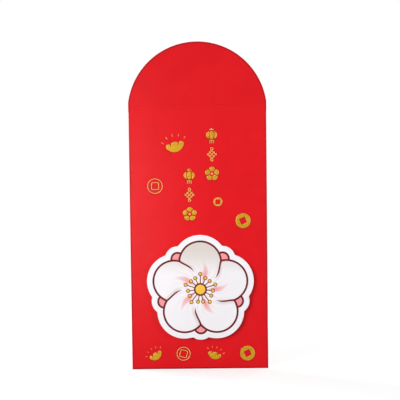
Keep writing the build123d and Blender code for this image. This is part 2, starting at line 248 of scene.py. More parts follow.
# Grain of pressed paper pulp, shared by the red card and the white board
paper_grain, grain_in, grain_out = new_group(
    "paper_grain",
    "ShaderNodeTree",
    {"Place": "Vector", "Grain size": "Float", "Fibre size": "Float", "Mottle size": "Float"},
    {"Mottle": "Float", "Fibre": "Float", "Height": "Float"},
)
pulp = grain_in.outputs
fibres = []
for turn, stretch in FIBRE_LAYS:
    lay = {"Vector": pulp["Place"], "Rotation": (0, turn, 0), "Scale": (1, 1, 1 / stretch)}
    lay = add_node(paper_grain, "ShaderNodeMapping", lay)["Vector"]
    fibres.append(noise(paper_grain, lay, pulp["Fibre size"], *FIBRE_NOISE))
fibre = figure(paper_grain, "MAXIMUM", *fibres)
grain = noise(paper_grain, pulp["Place"], pulp["Grain size"], *GRAIN_NOISE)
mottle = noise(paper_grain, pulp["Place"], pulp["Mottle size"], *MOTTLE_NOISE)
height = figure(paper_grain, "ADD", grain, fibre)
set_inputs(grain_out, {"Mottle": mottle, "Fibre": fibre, "Height": height})


def paper_in(tree, place, sizes):
    """Outputs of the paper grain with these sizes in a material."""
    return add_node(tree, "ShaderNodeGroup", {"Place": place, **sizes}, node_tree=paper_grain)


strip_low, strip_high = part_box("flap_crease")
flap_low, flap_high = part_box("flap")
left_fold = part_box("left_side_fold")
right_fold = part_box("right_side_fold")
bottom_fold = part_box("bottom_fold")
FACE, REAR = flap_low.y, flap_high.y  # the sheet's two sides, front first
HALF_WIDTH = flap_high.x
CREASE = (strip_low.z + strip_high.z) / 2
MOUTH = left_fold[1].z
ARC_BASE = flap_low.z + SHOULDER
ARC_RISE = flap_high.z - ARC_BASE
ARC_RADIUS = (ARC_RISE**2 + HALF_WIDTH**2) / (2 * ARC_RISE)
ARC_MIDDLE = flap_high.z - ARC_RADIUS


def card_finish(name, red, mottle_red, roughness, keeps_places=True):
    """Red card: clouded colour, painted shade just inside its rims and along the crease, and the tooth of
    its fibres.
    """
    finish, tree, shader, place = finish_of(name)
    if keeps_places:
        place = add_node(tree, "ShaderNodeAttribute", attribute_name="sheet_place")["Vector"]
    paper = paper_in(tree, place, CARD_GRAIN)
    across, depth, up = add_node(tree, "ShaderNodeSeparateXYZ", {0: place})
    from_side = figure(tree, "SUBTRACT", HALF_WIDTH, figure(tree, "ABSOLUTE", across))
    from_bottom = figure(tree, "SUBTRACT", up, bottom_fold[0].z)
    over_arc = figure(tree, "MAXIMUM", figure(tree, "SUBTRACT", up, ARC_MIDDLE), 0.0)
    from_arc_middle = distance(tree, vector_of(tree, X=across, Z=over_arc))
    from_arc = figure(tree, "SUBTRACT", ARC_RADIUS, from_arc_middle)
    from_rim = figure(tree, "MINIMUM", figure(tree, "MINIMUM", from_side, from_bottom), from_arc)
    # Painted shade: a darker line just inside the sheet's edges, darkest a little in from the edge, on the
    # folds' front edge only.
    rise = ramp(tree, from_rim, 0.0, EDGE_SHADE_INSET, 0.0, EDGE_SHADE_MOST)
    fall = ramp(tree, from_rim, EDGE_SHADE_INSET, EDGE_SHADE_WIDTH, EDGE_SHADE_MOST, 0.0)
    edge_shade_share = figure(tree, "MINIMUM", rise, fall)
    behind = figure(tree, "SUBTRACT", depth, FACE)
    edge_shade = figure(tree, "MULTIPLY", edge_shade_share, ramp(tree, behind, *EDGE_SHADE_DEPTH, 1.0, 0.0))
    # Painted shade on the back panel's rim, marked on its points.
    cut_rim_shade = add_node(tree, "ShaderNodeAttribute", attribute_name="cut_rim_shade")["Fac"]
    cut_rim_shade = ramp(tree, cut_rim_shade, 0.0, 1.0, 0.0, RIM_SHADE_MOST)
    edge_shade = figure(tree, "MAXIMUM", edge_shade, cut_rim_shade)
    # Painted shade: a faint darker line along the crease, clouded by the mottle.
    from_crease = figure(tree, "ABSOLUTE", figure(tree, "SUBTRACT", up, CREASE))
    crease_shade = ramp(tree, from_crease, SCORE_CORE, SCORE_WIDTH, CREASE_SHADE_MOST, 0.0)
    painted_shade = figure(tree, "MAXIMUM", edge_shade, figure(tree, "MULTIPLY", crease_shade, paper["Mottle"]))
    colour = mixed(tree, ramp(tree, paper["Mottle"], *CLOUDED), red, mottle_red)
    look = {
        "Base Color": mixed(tree, painted_shade, colour, RED_EDGE_SHADE),
        "Roughness": ramp(tree, paper["Fibre"], *FIBROUS, *roughness),
        "Specular IOR Level": CARD_SPECULAR,
        "Normal": tooth(tree, paper["Height"], *CARD_TOOTH),
    }
    set_inputs(shader, look)
    return finish


red_card = card_finish("red_card", RED, RED_MOTTLE, COATED_ROUGHNESS)
bare_card = card_finish("bare_card", BARE_RED, BARE_MOTTLE, BARE_ROUGHNESS)

body_stops = spaced(bottom_fold[1].z, (MOUTH - MOUTH_EASE, BODY_STEP))
rows = [(z, left_fold[1].x, right_fold[0].x) for z in body_stops]
rows += [(z, -HALF_WIDTH, HALF_WIDTH) for z in spaced(MOUTH, (strip_low.z, BODY_STEP))]
score_step = SCORE_WIDTH / SCORE_ROWS
strip_stops = spaced(
    strip_low.z,
    (CREASE - SCORE_WIDTH / 2, score_step * 2),
    (CREASE + SCORE_WIDTH / 2, score_step),
    (strip_high.z, score_step * 2),
)
rows += [(z, -HALF_WIDTH, HALF_WIDTH) for z in strip_stops[1:]]
arc_start = math.asin((ARC_BASE - ARC_MIDDLE) / ARC_RADIUS)
for k in range(FLAP_ROWS):
    angle = arc_start + (math.pi / 2 - arc_start) * k / FLAP_ROWS
    half = ARC_RADIUS * math.cos(angle)
    rows.append((ARC_MIDDLE + ARC_RADIUS * math.sin(angle), -half, half))
top_half = rows[-1][2] * TOP_SHARE
rows.append((flap_high.z, -top_half, top_half))


def sheet_shift(z):
    """How far the sheet lies behind its plane at a height: the pressed score, then the flap's lean."""
    in_score = max(0.0, 1 - ((z - CREASE) / (SCORE_WIDTH / 2)) ** 2)
    above = max(0.0, z - CREASE)
    curl = FLAP_CURL * (above / (flap_high.z - CREASE)) ** 2
    return SCORE_DEPTH * in_score - FLAP_LEAN * above - curl


def sheet_row(z, left, right, depth):
    """One row of points across the sheet, on its face or rear."""
    stops = [left + (right - left) * k / COLUMNS for k in range(COLUMNS + 1)]
    if z == flap_high.z:
        return [(x, depth + sheet_shift(z), ARC_MIDDLE + math.sqrt(ARC_RADIUS**2 - x**2)) for x in stops]
    return [(x, depth + sheet_shift(z), z) for x in stops]


face, rear = ([sheet_row(*row, side) for row in rows] for side in (FACE, REAR))
red_sheet = closed_sheet("red_sheet_front", face, rear, outside=0)
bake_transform(red_sheet)
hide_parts("front_panel", "flap_crease", "flap")

# Side and bottom folds: the same red card, bent round by half a turn at the pocket's edges.
# The left fold leads into the back panel, the other two into the glued tabs.
# The bends are open rolls, not knife edges, because the card is stiff.
SHEET = REAR - FACE
BEND_STEPS = 20
FRONTWARD = (0.0, -1.0, 0.0)
MERGE = 1e-4 * MM  # points nearer than this become one


def vector_sum(tree, operation, one, two):
    """Result of a Vector Math node with two inputs."""
    inputs = {0: one, "Scale" if operation == "SCALE" else 1: two}
    return add_node(tree, "ShaderNodeVectorMath", inputs, operation=operation)["Vector"]


def new_rule(name, inputs):
    """Empty rule for geometry with these inputs and a finish: the rule, its inputs and its output node."""
    inputs = {**inputs, "Finish": "Material"}
    rule, rule_in, rule_out = new_group(name, "GeometryNodeTree", inputs, {"Geometry": "Geometry"})
    return rule, rule_in.outputs, rule_out


def end_rule(rule, inputs, rule_out, geometry):
    """End a rule with plain mesh in the finish that it is given."""
    real = add_node(rule, "GeometryNodeRealizeInstances", {"Geometry": geometry})[0]
    coated = {"Geometry": real, "Material": inputs["Finish"]}
    coated = add_node(rule, "GeometryNodeSetMaterial", coated)[0]
    set_inputs(rule_out, {"Geometry": coated})


bend_rule, bend, bend_out = new_rule(
    "bent_card",
    {"Start": "Vector", "End": "Vector", "Outward": "Vector", "Radius": "Float", "Bend steps": "Int"},
)
stops = figure(bend_rule, "ADD", bend["Bend steps"], 1.0)
flat = {"Size X": 1.0, "Size Y": 1.0, "Vertices X": stops, "Vertices Y": 2}
flat = add_node(bend_rule, "GeometryNodeMeshGrid", flat)["Mesh"]
grid_place = add_node(bend_rule, "GeometryNodeInputPosition")[0]
grid_place = add_node(bend_rule, "ShaderNodeSeparateXYZ", {0: grid_place})
bend_angle = figure(bend_rule, "MULTIPLY", grid_place["X"], math.pi)
along = figure(bend_rule, "ADD", grid_place["Y"], 0.5)
run = vector_sum(bend_rule, "SUBTRACT", bend["End"], bend["Start"])
axis_point = vector_sum(bend_rule, "ADD", bend["Start"], vector_sum(bend_rule, "SCALE", run, along))
toward_front = vector_sum(bend_rule, "SCALE", FRONTWARD, figure(bend_rule, "SINE", bend_angle))
toward_edge = vector_sum(bend_rule, "SCALE", bend["Outward"], figure(bend_rule, "COSINE", bend_angle))
spoke = vector_sum(bend_rule, "ADD", toward_front, toward_edge)
spoke = vector_sum(bend_rule, "SCALE", spoke, bend["Radius"])
bent = {"Geometry": flat, "Position": vector_sum(bend_rule, "ADD", axis_point, spoke)}
bent = add_node(bend_rule, "GeometryNodeSetPosition", bent)["Geometry"]
end_rule(bend_rule, bend, bend_out, bent)


def grown(name, rule, values, start_mesh=None, thickness=0.0):
    """Plain mesh object made by a node rule with these named values, thickened if a thickness is given."""
    source = put_in_scene(start_mesh or bpy.data.meshes.new(name), name)
    growth = source.modifiers.new("rule", "NODES")
    growth.node_group = rule
    for item in rule.interface.items_tree:
        if item.in_out == "INPUT" and item.name in values:
            growth[item.identifier] = values[item.name]
    if thickness:
        wall = source.modifiers.new("thickness", "SOLIDIFY")
        wall.thickness, wall.offset = thickness, 0.0
    ready = source.evaluated_get(bpy.context.evaluated_depsgraph_get())
    mesh = bpy.data.meshes.new_from_object(ready)
    source.modifiers.clear()
    source.data = mesh
    mesh.name = name
    return source


def welded(mesh):
    """Shape of a mesh with its doubled points merged."""
    shape = bmesh.new()
    shape.from_mesh(mesh)
    bmesh.ops.remove_doubles(shape, verts=shape.verts, dist=MERGE)
    return shape


def facing_out(piece):
    """Turn all faces of a closed piece outwards."""
    shape = welded(piece.data)
    bmesh.ops.recalc_face_normals(shape, faces=shape.faces)
    shape.to_mesh(piece.data)
    shape.free()


def fold(node, outward, start, end):
    """Rebuild a fold whose axis runs between two places, each given across and up."""
    low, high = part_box(node)
    middle = (low.y + high.y) / 2
    values = {
        "Start": (start[0], middle, start[1]),
        "End": (end[0], middle, end[1]),
        "Outward": outward,
        "Radius": (high.y - low.y) / 2 - SHEET / 2,
        "Bend steps": BEND_STEPS,
        "Finish": red_card,
    }
    piece = grown(node + "_roll", bend_rule, values, thickness=SHEET)
    facing_out(piece)
    keep_places(piece.data)
    smooth_between_edges(piece.data)
    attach(piece, "pocket")
    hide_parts(node)


left_x, right_x, low_z = left_fold[1].x, right_fold[0].x, bottom_fold[1].z
fold("left_side_fold", (-1, 0, 0), (left_x, left_fold[0].z), (left_x, left_fold[1].z))
fold("right_side_fold", (1, 0, 0), (right_x, right_fold[0].z), (right_x, right_fold[1].z))
fold("bottom_fold", (0, 0, -1), (bottom_fold[0].x, low_z), (bottom_fold[1].x, low_z))

# Back panel: red card that carries on from the left fold and is glued over the two tabs.
# Its mouth edge has a round thumb notch, and its glued corners are cut off.
# The glued tabs show through it as low steps, because the card sinks a little between them.
back_low, back_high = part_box("back_panel")
side_tab_low, side_tab_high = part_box("side_glue_tab")
bottom_tab_low, bottom_tab_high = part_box("bottom_glue_tab")
BACK_CORNER = 3.0 * MM
NOTCH_RADIUS, NOTCH_DEPTH, NOTCH_EASE = 11.0 * MM, 6.0 * MM, 1.5 * MM
BACK_SINK = 0.14 * MM
TAB_STEP = 1.3 * MM  # width of the slope at a tab's edge
FOLD_RUN_OUT = 6.0 * MM  # from the left fold to the full sink
RUN_OUT_COLUMNS = 6
COCKLE_DEPTH = 0.12 * MM  # the empty packet's back is not quite flat
COCKLE_ACROSS, COCKLE_UP = 53 * MM, 71 * MM
COCKLE_SHIFT, COCKLE_SLANT = 0.2, 0.4  # as shares of a wave, and of the way across
FINE, MIDDLING, COARSE = 0.3 * MM, 0.8 * MM, 2.5 * MM  # steps between points
EDGE_ROWS = 5
RIM_STEPS = 3
RIM_ROWS = [EDGE_SHADE_WIDTH * k / RIM_STEPS for k in range(RIM_STEPS + 1)]  # from the mouth's edge

notch_middle = back_high.z + NOTCH_RADIUS - NOTCH_DEPTH
ease_height = back_high.z - NOTCH_EASE
ease_across = math.sqrt((NOTCH_RADIUS + NOTCH_EASE) ** 2 - (notch_middle - ease_height) ** 2)
notch_half = ease_across * NOTCH_RADIUS / (NOTCH_RADIUS + NOTCH_EASE)


def mouth_edge(x):
    """Height of the back panel's upper edge: notch, its rounded ends, straight edge and cut corner."""
    if abs(x) <= notch_half:
        return notch_middle - math.sqrt(NOTCH_RADIUS**2 - x**2)
    if abs(x) < ease_across:
        return ease_height + math.sqrt(NOTCH_EASE**2 - (abs(x) - ease_across) ** 2)
    return back_high.z - max(0.0, x - back_high.x + BACK_CORNER)


def low_edge(x):
    """Height of the back panel's lower edge, with its cut corner."""
    return back_low.z + max(0.0, x - back_high.x + BACK_CORNER)


def step_up(value, width):
    """Smooth step from 0 to 1 about zero."""
    share = min(1.0, max(0.0, value / width + 0.5))
    return share * share * (3 - 2 * share)


def back_sink(x, z):
    """How far the back panel lies inside its plane at a place."""
    slant = side_tab_high.x - x
    in_side = min(x - side_tab_low.x, z - side_tab_low.z - slant, side_tab_high.z - slant - z)
    rise = z - bottom_tab_low.z
    in_bottom = min(bottom_tab_high.z - z, x - bottom_tab_low.x - rise, bottom_tab_high.x - rise - x)
    over_tab = step_up(max(in_side, in_bottom), TAB_STEP)
    from_fold = step_up(x - back_low.x - FOLD_RUN_OUT / 2, FOLD_RUN_OUT)
    wave = math.sin(2 * math.pi * (x / COCKLE_ACROSS + COCKLE_SHIFT))
    wave *= math.sin(2 * math.pi * (z + COCKLE_SLANT * x) / COCKLE_UP)
    return (BACK_SINK + COCKLE_DEPTH * (1 + wave) / 2) * (1 - over_tab) * from_fold


back_columns = spaced(
    back_low.x,
    (back_low.x + FOLD_RUN_OUT, FOLD_RUN_OUT / RUN_OUT_COLUMNS),
    (-ease_across, COARSE),
    (-notch_half, FINE),
    (notch_half, MIDDLING),
    (ease_across, FINE),
    (side_tab_low.x - TAB_STEP, COARSE),
    (side_tab_low.x + TAB_STEP, FINE),
    (back_high.x - BACK_CORNER, MIDDLING),
    (back_high.x, MIDDLING),
)
upper_rows = notch_middle - NOTCH_RADIUS - RIM_ROWS[-1] - MIDDLING
back_rows = spaced(
    back_low.z + BACK_CORNER + MIDDLING,
    (bottom_tab_high.z - TAB_STEP, MIDDLING),
    (bottom_tab_high.z + TAB_STEP, FINE),
    (side_tab_high.z - (side_tab_high.x - side_tab_low.x) - TAB_STEP, COARSE),
    (upper_rows, MIDDLING),
)


def back_points(depth):
    """Rows of points of the back panel at a depth, seen from behind from its left edge on."""
    lower = [
        [(x, low_edge(x) + (back_rows[0] - low_edge(x)) * k / EDGE_ROWS) for x in back_columns]
        for k in range(EDGE_ROWS)
    ]
    middle = [[(x, z) for x in back_columns] for z in back_rows]
    rises = [(x, mouth_edge(x) - RIM_ROWS[-1] - upper_rows) for x in back_columns]
    upper = [[(x, upper_rows + rise * k / EDGE_ROWS) for x, rise in rises] for k in range(1, EDGE_ROWS)]
    upper += [[(x, mouth_edge(x) - inside) for x in back_columns] for inside in reversed(RIM_ROWS)]
    return [[(x, depth - back_sink(x, z), z) for x, z in row] for row in lower + middle + upper]


back_sheet = closed_sheet("back_panel_card", back_points(back_low.y), back_points(back_high.y), outside=1)
# Painted shade: the back panel darkens towards its mouth, thumb notch, cut corner and lower edge.
cut_rim_shade = back_sheet.data.attributes.new("cut_rim_shade", "FLOAT", "POINT")
for point, mark in zip(back_sheet.data.vertices, cut_rim_shade.data):
    x, z = point.co.x, point.co.z
    inside = min(mouth_edge(x) - z, z - low_edge(x), back_high.x - x)
    mark.value = max(0.0, 1 - inside / EDGE_SHADE_WIDTH)
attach(back_sheet, "pocket")
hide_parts("back_panel")

# Glue tabs: red card folded in behind the back panel's right and lower edges.
# They are seen only through the mouth, as the same card from inside.
tab_card = card_finish("tab_card", BARE_RED, BARE_MOTTLE, BARE_ROUGHNESS, keeps_places=False)
for tab in ("side_glue_tab", "bottom_glue_tab"):
    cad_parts[tab].material_slots[0].material = tab_card

# Glue lines: dried white paper glue, rolled on the tabs before the back panel was pressed down.
# Thin, clouded and a little glossy; hidden between the two layers of card.
GLUE = (0.80, 0.76, 0.66)
GLUE_THIN = (0.62, 0.44, 0.38)
GLUE_FILM = (2.2 * MM, 3.0, 0.6)  # size, detail and roughness of its noise
GLUE_COVER = (0.4, 0.65)  # thin below this much noise, full above that
GLUE_ROUGHNESS = (0.3, 0.7, 0.5, 0.3)  # noise from and to, roughness from and to
dried_glue, tree, shader, place = finish_of("dried_glue")
film = noise(tree, place, *GLUE_FILM)
look = {
    "Base Color": mixed(tree, ramp(tree, film, *GLUE_COVER), GLUE_THIN, GLUE),
    "Roughness": ramp(tree, film, *GLUE_ROUGHNESS),
}
set_inputs(shader, look)
for line in ("side_glue_line", "bottom_glue_line"):
    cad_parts[line].material_slots[0].material = dried_glue

# Gold foil stamps: ingots, coins and the emblems of the two columns.
# A heated die pressed the foil into the card, so each area has a soft shoulder, coloured brighter as a
# painted highlight, and the card round it is darker, partly for the pressing and partly as painted shade
# of the pressed hollow.
FOIL = (0.520, 0.294, 0.016)
# the shoulder's brighter colour is a painted highlight
FOIL_SHOULDER_HIGHLIGHT = (0.965, 0.322, 0.098)
FOIL_TARNISH = (0.425, 0.240, 0.011)
FOIL_CLOUDS, FOIL_FLECK = (1.6 * MM, 3.0, 0.6), (0.16 * MM, 2.0, 0.5)  # noises, as for the glue
TARNISHED = (0.4, 0.7)  # clean below this much noise, dull above that
ON_SHOULDER = (0.0, 0.8)
FOIL_METAL = (0.90, 0.35)  # shine of the flat foil and of its shoulder, whose brighter colour is a painted highlight
FOIL_SPECULAR = 0.2
FOIL_ROUGHNESS = (0.35, 0.7, 0.34, 0.48)
FOIL_TOOTH = (0.3, 0.01 * MM)
# darker red of the pressed margin, partly the pressing and partly painted shade of the pressed hollow
PRESSED_SHADED_RED = (0.300, 0.0035, 0.0070)
CRUSH = (0.5 * MM, 2.0, 0.5)
CRUSH_ROUGHNESS = (0.3, 0.7, 0.42, 0.52)
SHOULDER_WIDTH = 0.22 * MM
SHOULDER_DROP = 0.022 * MM
MARGIN_WIDTH = 0.36 * MM
MARGIN_RISE = 0.010 * MM
MARGIN_LIFT = 0.002 * MM
MARGIN_GAP = 0.02 * MM  # between the foil's wall and the pressed margin
MITRE_LIMIT = 1.6
RAY_SIZE = 2.5 * MM  # what is smaller takes the foil without a margin
WALL_TILT, FRONT_TILT = 0.5, -0.9  # limits along Y for the normals of walls and of the front
FOIL_EDGE = 50  # degrees
STAMPS = (
    # stamps, how far inside the die's edge the foil tears off, and how much of the shoulder's painted
    # highlight it takes inside its shoulder;
    # thin strokes take more
    (("ingot_stamp", "low_ingot_stamps", "solid_coin_stamps"), 0.10 * MM, 0.0),
    (("lantern_stamps", "blossom_stamps"), 0.10 * MM, 0.0),
    (("outline_coin_stamp", "low_outline_coin_stamp"), 0.09 * MM, 0.6),
    (("small_coin_stamp", "knot_stamps"), 0.09 * MM, 0.25),
)

gold_foil, tree, shader, place = finish_of("gold_foil")
# The brighter shoulder colour is a painted highlight.
shoulder_highlight = add_node(tree, "ShaderNodeAttribute", attribute_name="shoulder_highlight")["Fac"]
clouds = noise(tree, place, *FOIL_CLOUDS)
fleck = noise(tree, place, *FOIL_FLECK)
colour = mixed(tree, ramp(tree, clouds, *TARNISHED), FOIL, FOIL_TARNISH)
look = {
    "Base Color": mixed(tree, ramp(tree, shoulder_highlight, *ON_SHOULDER), colour, FOIL_SHOULDER_HIGHLIGHT),
    "Metallic": ramp(tree, shoulder_highlight, *ON_SHOULDER, *FOIL_METAL),
    "Specular IOR Level": FOIL_SPECULAR,
    "Roughness": ramp(tree, fleck, *FOIL_ROUGHNESS),
    "Normal": tooth(tree, fleck, *FOIL_TOOTH),
}
set_inputs(shader, look)

# Pressed margin: darker red, partly for the pressing and partly painted shade.
pressed_shaded_card, tree, shader, place = finish_of("pressed_shaded_card")
crush = noise(tree, place, *CRUSH)
look = {
    "Base Color": mixed(tree, crush, PRESSED_SHADED_RED, RED_EDGE_SHADE),
    "Roughness": ramp(tree, crush, *CRUSH_ROUGHNESS),
    "Specular IOR Level": CARD_SPECULAR,
}
set_inputs(shader, look)


def mesh_of(shape, name, angle=SHARP_EDGE):
    """New mesh from a finished shape, smooth up to edges of the angle in degrees."""
    mesh = bpy.data.meshes.new(name)
    shape.to_mesh(mesh)
    shape.free()
    smooth_between_edges(mesh, angle)
    return mesh


def islands(shape):
    """Sets of the points that hang together."""
    left, found = set(shape.verts), []
    while left:
        group, fringe = set(), {left.pop()}
        while fringe:
            group |= fringe
            fringe = {e.other_vert(v) for v in fringe for e in v.link_edges} - group
        left -= group
        found.append(group)
    return found


def is_wall(face):
    return abs(face.normal.y) < WALL_TILT


def press_foil(node, trim, inner_highlight):
    """Stand-in for a stamp, with a shoulder round its face and the pressed margin of card round it, partly
    in painted shade.

    The flat foil inside the shoulder takes the shoulder's painted highlight from 0, not at all, to 1.
    """
    shape = welded(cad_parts[node].data)
    shape.normal_update()
    shoulder_highlight_of = shape.verts.layers.float.new("shoulder_highlight")
    top = min(v.co.y for v in shape.verts)
    small = set()
    for group in islands(shape):
        spans = [[v.co[axis] for v in group] for axis in (0, 2)]
        if max(max(span) - min(span) for span in spans) < RAY_SIZE:
            small |= group
    # Painted highlight: small strokes take it all over.
    for v in shape.verts:
        if v in small:
            v[shoulder_highlight_of] = 1.0
            v.co -= sum((f.normal for f in v.link_faces if is_wall(f)), Vector()).normalized() * trim
    broad = [f for f in shape.faces if f.normal.y < FRONT_TILT and f.verts[0] not in small]
    for v in {v for f in broad for v in f.verts}:
        v[shoulder_highlight_of] = inner_highlight
    inset = SHOULDER_WIDTH + trim
    bmesh.ops.inset_region(shape, faces=broad, thickness=inset, use_even_offset=True, use_boundary=True)
    shape.normal_update()
    walls = [f for f in shape.faces if is_wall(f) and not all(v[shoulder_highlight_of] for v in f.verts)]
    on_walls = {v for f in walls for v in f.verts}
    rim = [v for v in shape.verts if v in on_walls and abs(v.co.y - top) < MERGE]
    outward, foot = {}, {}
    for v in rim:
        sides = [f.normal.copy() for f in v.link_faces if is_wall(f)]
        lean = Vector((sum(s.x for s in sides), 0, sum(s.z for s in sides))).normalized()
        outward[v] = lean * (1 / max(1 / MITRE_LIMIT, lean.dot(sides[0])))
        others = [e.other_vert(v) for e in v.link_edges]
        foot[v] = [other for other in others if (other.co - v.co).xz.length < MERGE]
    edges = [e.verts[:] for f in walls for e in f.edges if all(v in outward for v in e.verts)]
    for v in rim:
        v[shoulder_highlight_of] = 1.0
        for corner in [v] + foot[v]:
            corner.co -= outward[v] * trim
        v.co.y += SHOULDER_DROP
    # The margin round the stamp takes the darker pressed card, partly painted shade.
    section, margin = {}, []
    for v in rim:
        near, away = (v.co + outward[v] * width for width in (MARGIN_GAP, MARGIN_WIDTH))
        corners = ((near, 0.0), (near, MARGIN_RISE), (away, MARGIN_LIFT), (away, 0.0))
        section[v] = [shape.verts.new((place.x, FACE - rise, place.z)) for place, rise in corners]
    for one, two in edges:
        begin, end = section[one], section[two]
        for k in range(len(begin)):
            margin.append(shape.faces.new((begin[k - 1], begin[k], end[k], end[k - 1])))
            margin[-1].material_index = 1
    bmesh.ops.recalc_face_normals(shape, faces=margin)
    mesh = mesh_of(shape, node + "_foil", FOIL_EDGE)
    mesh.materials.append(gold_foil)
    mesh.materials.append(pressed_shaded_card)
    piece = put_in_scene(mesh)
    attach(piece, "pocket")
    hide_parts(node)


for stamps, trim, inner_highlight in STAMPS:
    for stamp in stamps:
        press_foil(stamp, trim, inner_highlight)

# Foam pads: four squares of white cell foam with glue on both sides.
# They hold the die-cut card off the front panel; pressed between the two, their sides swell out.
pads_low, pads_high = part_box("foam_pads")
PAD = 10.0 * MM
PAD_CORNER = 1.5 * MM
PAD_SWELL = 0.22 * MM
PAD_LEVELS = 8
CORNER_STEPS = 6
FOAM = (0.86, 0.84, 0.82)
FOAM_PORE = (0.60, 0.57, 0.56)
FOAM_ROUGHNESS = (0.95, 0.8)  # in the pores and between them
FOAM_TOOTH = (0.35, 0.03 * MM)
CELL_SIZE = 0.35 * MM
CELL_WALL = (0.1, 0.6)  # from a pore's middle to its wall
foam_depth = pads_high.y - pads_low.y

white_foam, tree, shader, place = finish_of("white_foam")
cells = {"Vector": place, "Scale": 1 / CELL_SIZE}
cells = add_node(tree, "ShaderNodeTexVoronoi", cells, feature="F1")["Distance"]
pores = ramp(tree, cells, *CELL_WALL)
look = {
    "Base Color": mixed(tree, pores, FOAM_PORE, FOAM),
    "Roughness": ramp(tree, cells, *CELL_WALL, *FOAM_ROUGHNESS),
    "Normal": tooth(tree, pores, *FOAM_TOOTH),
}
set_inputs(shader, look)


def pad_outline(grow):
    """Round-cornered square, seen from the front."""
    half = PAD / 2 - PAD_CORNER
    radius = PAD_CORNER + grow
    points = []
    for quarter, (sx, sz) in enumerate(((1, 1), (-1, 1), (-1, -1), (1, -1))):
        for k in range(CORNER_STEPS + 1):
            angle = (quarter + k / CORNER_STEPS) * math.pi / 2
            points.append((sx * half + radius * math.cos(angle), sz * half + radius * math.sin(angle)))
    return points


pad_shape = bmesh.new()
rings = []
for level in range(PAD_LEVELS + 1):
    share = level / PAD_LEVELS
    outline = pad_outline(PAD_SWELL * (2 * math.sin(math.pi * share) - 1))
    rings.append([pad_shape.verts.new((x, -foam_depth * share, z)) for x, z in outline])
for under, over in zip(rings, rings[1:]):
    for k in range(len(under)):
        pad_shape.faces.new((under[k - 1], under[k], over[k], over[k - 1]))
pad_shape.faces.new(rings[0])
pad_shape.faces.new(list(reversed(rings[-1])))
bmesh.ops.recalc_face_normals(pad_shape, faces=pad_shape.faces)
pad_mesh = mesh_of(pad_shape, "foam_pad_one")

pad_rule, pads, pad_out = new_rule(
    "pads_in_a_square", {"Pad": "Geometry", "Pitch": "Float", "Middle": "Vector"}
)
corners = {"Size X": pads["Pitch"], "Size Y": pads["Pitch"], "Vertices X": 2, "Vertices Y": 2}
corners = add_node(pad_rule, "GeometryNodeMeshGrid", corners)["Mesh"]
stood = {"Geometry": corners, "Translation": pads["Middle"], "Rotation": (math.pi / 2, 0, 0)}
stood = add_node(pad_rule, "GeometryNodeTransform", stood)["Geometry"]
placed = {"Points": stood, "Instance": pads["Pad"]}
placed = add_node(pad_rule, "GeometryNodeInstanceOnPoints", placed)["Instances"]
end_rule(pad_rule, pads, pad_out, placed)
foam_pads = grown(
    "foam_pads_swollen",
    pad_rule,
    {
        "Pitch": pads_high.x - pads_low.x - PAD,
        "Middle": ((pads_low.x + pads_high.x) / 2, pads_high.y, (pads_low.z + pads_high.z) / 2),
        "Finish": white_foam,
    },
    start_mesh=pad_mesh,
)
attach(foam_pads, "pocket")
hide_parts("foam_pads")

# Die-cut card: white coated board, printed with a five-petal blossom and cut with a white margin.
# The knife rounds its front edge a little, and the cut side shows the bare board.
# It is stuck on the foam pads, so it throws a narrow shadow on the front panel.
BOARD_WHITE = (0.935, 0.907, 0.942)
BOARD_CORE = (0.80, 0.76, 0.74)
BOARD_GRAIN = {"Grain size": 0.2 * MM, "Fibre size": 0.6 * MM, "Mottle size": 9 * MM}
BOARD_CLOUDING = 0.06
BOARD_ROUGHNESS = (0.40, 0.50)
BOARD_SPECULAR = 0.15
BOARD_TOOTH = (0.15, 0.008 * MM)
LINE_MAROON = (0.150, 0.0060, 0.0120)
PETAL_WHITE = (0.938, 0.911, 0.946)
PETAL_BEIGE = (0.740, 0.670, 0.625)
PETAL_PINK = (0.900, 0.335, 0.360)
CARD_MIDDLE = (0.7, -33.0)  # the print's own sizes are in millimetres, from here
PETALS = 5
PETAL_RADIUS, PETAL_REACH = 14.0, 17.6
SEPAL_RADIUS, SEPAL_REACH = 4.6, 24.5
LINE = 1.25
INK_SOFTNESS = 0.05
FEET_RADIUS = 15.0  # the petals' feet cover all of this
SEAM_INNER, SEAM_FULL = 10.5, 17.0  # a seam between two petals tapers from here to its full line
TUCK_SHADE = (0.4, 3.6, 0.85, 0.0)  # distance from a seam from and to, shade from and to
SWIRL = 0.30  # turn in radians of the petals' feet against their tips
BEIGE_RISE = (7.0, 27.0)
STREAK_MIDDLE, STREAK_LENGTH, STREAK_WIDTH = 11.5, 7.0, 2.1  # half sizes of the pink on each petal
STREAK_FADE = (0.95, 0.25)  # its strength at its foot and its tip
STREAK_EDGE, STREAK_SOFTNESS = -0.5, 0.9
VEINS, VEIN_WIDTH, VEIN_SOFTNESS, VEIN_STRENGTH = 5, 0.13, 0.08, 0.5
HEART_RADIUS, HEART_LINE = 3.2, 1.0
STAMENS, LONG_EVERY = 15, 3
LONG_REACH, SHORT_REACH = 10.0, 8.0
FILAMENT_WIDTH = 0.3
ANTHER_RADIUS, ANTHER_LINE = 0.85, 0.45
EDGE_ROUNDING = 0.1 * MM
EDGE_STEPS = 3
ROUND_PROFILE = 0.5
PRINT_ENDS = (EDGE_ROUNDING, 1.5 * EDGE_ROUNDING)  # the print runs out this far behind the face
FLAT_WITHIN = 0.5  # degrees between faces that are one plane
FLAT_FACE_ANGLE = 12  # the flat face isn't shaded together with its rounded edge
half_sector = math.pi / PETALS
notch_reach = PETAL_REACH * math.cos(half_sector)
notch_reach += math.sqrt(PETAL_RADIUS**2 - (PETAL_REACH * math.sin(half_sector)) ** 2)

